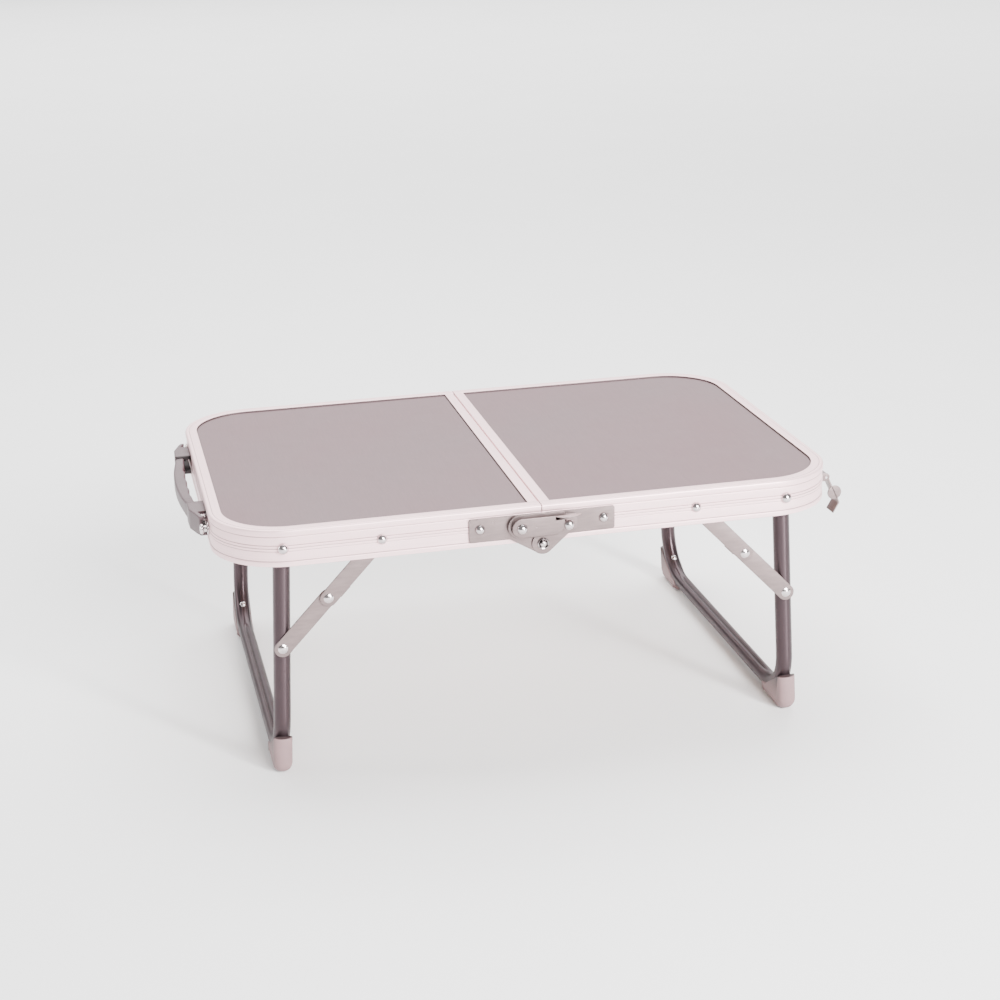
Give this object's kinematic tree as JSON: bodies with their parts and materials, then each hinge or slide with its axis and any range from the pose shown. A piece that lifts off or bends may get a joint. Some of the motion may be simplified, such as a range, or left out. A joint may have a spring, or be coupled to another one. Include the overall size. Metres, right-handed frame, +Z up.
{
  "type": "folding table",
  "caption": "Low folding suitcase table: two rimmed halves on a centre hinge with locking levers, bent-tube leg frames with folding stays, carry handle and case latches.",
  "frame": {"origin": "on the floor, below the middle of the open table", "axes": "+X along the table towards the end with the case latches, -Y to the front, +Z up"},
  "size_m": [0.6467, 0.4334, 0.245],
  "materials": {
    "rim_aluminium": "satin anodised extrusion",
    "board_fibre": "pressed wood fibre",
    "top_sheet": "fine brushed laminate",
    "zinc_steel": "bright zinc plate",
    "rivet_steel": "polished",
    "leg_paint": "metallic grey, semi gloss",
    "foot_plastic": "moulded, matt",
    "handle_plastic": "moulded, matt",
    "dark_plastic": "moulded"
  },
  "bodies": {
    "left_top": {"left_rim": "rim_aluminium", "left_seam_strip": "rim_aluminium", "left_board": "board_fibre", "left_top_sheet": "top_sheet", "left_leg_rivets": "rivet_steel", "left_leg_bushes": "dark_plastic", "left_stay_rivets": "rivet_steel", "left_stay_washers": "zinc_steel", "left_hinge_plates": "zinc_steel", "hinge_pins": "rivet_steel", "left_plate_rivets": "rivet_steel", "lever_pivots": "rivet_steel", "lever_spacers": "dark_plastic", "handle_front_block": "handle_plastic", "handle_back_block": "handle_plastic", "handle_grip": "handle_plastic", "handle_screws": "rivet_steel", "catch_studs": "rivet_steel"},
    "right_top": {"right_rim": "rim_aluminium", "right_seam_strip": "rim_aluminium", "right_board": "board_fibre", "right_top_sheet": "top_sheet", "right_leg_rivets": "rivet_steel", "right_leg_bushes": "dark_plastic", "right_stay_rivets": "rivet_steel", "right_stay_washers": "zinc_steel", "right_hinge_plates": "zinc_steel", "right_plate_rivets": "rivet_steel", "lever_catches": "rivet_steel", "latch_brackets": "zinc_steel", "latch_pins": "rivet_steel"},
    "left_legs": {"left_leg_frame": "leg_paint", "left_leg_end_plugs": "dark_plastic", "left_front_foot": "foot_plastic", "left_back_foot": "foot_plastic", "left_foot_rivets": "rivet_steel", "left_strap_rivets": "rivet_steel"},
    "left_front_upper_stay": {"left_front_upper_strap": "zinc_steel", "elbow_rivet_left_front": "rivet_steel"},
    "left_front_lower_stay": {"left_front_lower_strap": "zinc_steel"},
    "left_back_upper_stay": {"left_back_upper_strap": "zinc_steel", "elbow_rivet_left_back": "rivet_steel"},
    "left_back_lower_stay": {"left_back_lower_strap": "zinc_steel"},
    "right_legs": {"right_leg_frame": "leg_paint", "right_leg_end_plugs": "dark_plastic", "right_front_foot": "foot_plastic", "right_back_foot": "foot_plastic", "right_foot_rivets": "rivet_steel", "right_strap_rivets": "rivet_steel"},
    "right_front_upper_stay": {"right_front_upper_strap": "zinc_steel", "elbow_rivet_right_front": "rivet_steel"},
    "right_front_lower_stay": {"right_front_lower_strap": "zinc_steel"},
    "right_back_upper_stay": {"right_back_upper_strap": "zinc_steel", "elbow_rivet_right_back": "rivet_steel"},
    "right_back_lower_stay": {"right_back_lower_strap": "zinc_steel"},
    "front_lever": {"front_hinge_lever": "zinc_steel"},
    "front_latch": {"front_case_latch": "zinc_steel"},
    "back_lever": {"back_hinge_lever": "zinc_steel"},
    "back_latch": {"back_case_latch": "zinc_steel"}
  },
  "joints": [
    {"name": "centre_fold", "type": "hinge", "parent": "left_top", "child": "right_top", "pos_m": [0, 0, 0.2085], "axis": [0, 1, 0], "range_deg": [0, 90]},
    {"name": "left_legs_fold", "type": "hinge", "parent": "left_top", "child": "left_legs", "pos_m": [-0.24, 0, 0.2275], "axis": [0, -1, 0], "range_deg": [0, 92]},
    {"name": "left_front_upper_stay_turn", "type": "hinge", "parent": "left_top", "child": "left_front_upper_stay", "pos_m": [-0.15, -0.19595, 0.2275], "axis": [0, -1, 0], "range_deg": [0, 132.5]},
    {"name": "left_front_lower_stay_turn", "type": "hinge", "parent": "left_legs", "child": "left_front_lower_stay", "pos_m": [-0.24523, -0.19295, 0.12764], "axis": [0, 1, 0], "range_deg": [0, 138.5]},
    {"name": "left_back_upper_stay_turn", "type": "hinge", "parent": "left_top", "child": "left_back_upper_stay", "pos_m": [-0.15, 0.19595, 0.2275], "axis": [0, -1, 0], "range_deg": [0, 132.5]},
    {"name": "left_back_lower_stay_turn", "type": "hinge", "parent": "left_legs", "child": "left_back_lower_stay", "pos_m": [-0.24523, 0.19295, 0.12764], "axis": [0, 1, 0], "range_deg": [0, 138.5]},
    {"name": "right_legs_fold", "type": "hinge", "parent": "right_top", "child": "right_legs", "pos_m": [0.24, 0, 0.2275], "axis": [0, 1, 0], "range_deg": [0, 92]},
    {"name": "right_front_upper_stay_turn", "type": "hinge", "parent": "right_top", "child": "right_front_upper_stay", "pos_m": [0.15, -0.19595, 0.2275], "axis": [0, 1, 0], "range_deg": [0, 132.5]},
    {"name": "right_front_lower_stay_turn", "type": "hinge", "parent": "right_legs", "child": "right_front_lower_stay", "pos_m": [0.24523, -0.19295, 0.12764], "axis": [0, -1, 0], "range_deg": [0, 138.5]},
    {"name": "right_back_upper_stay_turn", "type": "hinge", "parent": "right_top", "child": "right_back_upper_stay", "pos_m": [0.15, 0.19595, 0.2275], "axis": [0, 1, 0], "range_deg": [0, 132.5]},
    {"name": "right_back_lower_stay_turn", "type": "hinge", "parent": "right_legs", "child": "right_back_lower_stay", "pos_m": [0.24523, 0.19295, 0.12764], "axis": [0, -1, 0], "range_deg": [0, 138.5]},
    {"name": "front_lever_lift", "type": "hinge", "parent": "left_top", "child": "front_lever", "pos_m": [-0.0215, -0.20765, 0.2275], "axis": [0, -1, 0], "range_deg": [0, 30]},
    {"name": "front_latch_swing", "type": "hinge", "parent": "right_top", "child": "front_latch", "pos_m": [0.307, -0.125, 0.221], "axis": [0, -1, 0], "range_deg": [0, 100]},
    {"name": "back_lever_lift", "type": "hinge", "parent": "left_top", "child": "back_lever", "pos_m": [-0.0215, 0.20765, 0.2275], "axis": [0, -1, 0], "range_deg": [0, 30]},
    {"name": "back_latch_swing", "type": "hinge", "parent": "right_top", "child": "back_latch", "pos_m": [0.307, 0.125, 0.221], "axis": [0, -1, 0], "range_deg": [0, 100]}
  ],
  "couplings": [
    {"joint": "left_front_upper_stay_turn", "follows": "left_legs_fold", "ratio": 1.4398},
    {"joint": "left_front_lower_stay_turn", "follows": "left_legs_fold", "ratio": 1.5017},
    {"joint": "left_back_upper_stay_turn", "follows": "left_legs_fold", "ratio": 1.4398},
    {"joint": "left_back_lower_stay_turn", "follows": "left_legs_fold", "ratio": 1.5017},
    {"joint": "right_front_upper_stay_turn", "follows": "right_legs_fold", "ratio": 1.4398},
    {"joint": "right_front_lower_stay_turn", "follows": "right_legs_fold", "ratio": 1.5017},
    {"joint": "right_back_upper_stay_turn", "follows": "right_legs_fold", "ratio": 1.4398},
    {"joint": "right_back_lower_stay_turn", "follows": "right_legs_fold", "ratio": 1.5017}
  ]
}
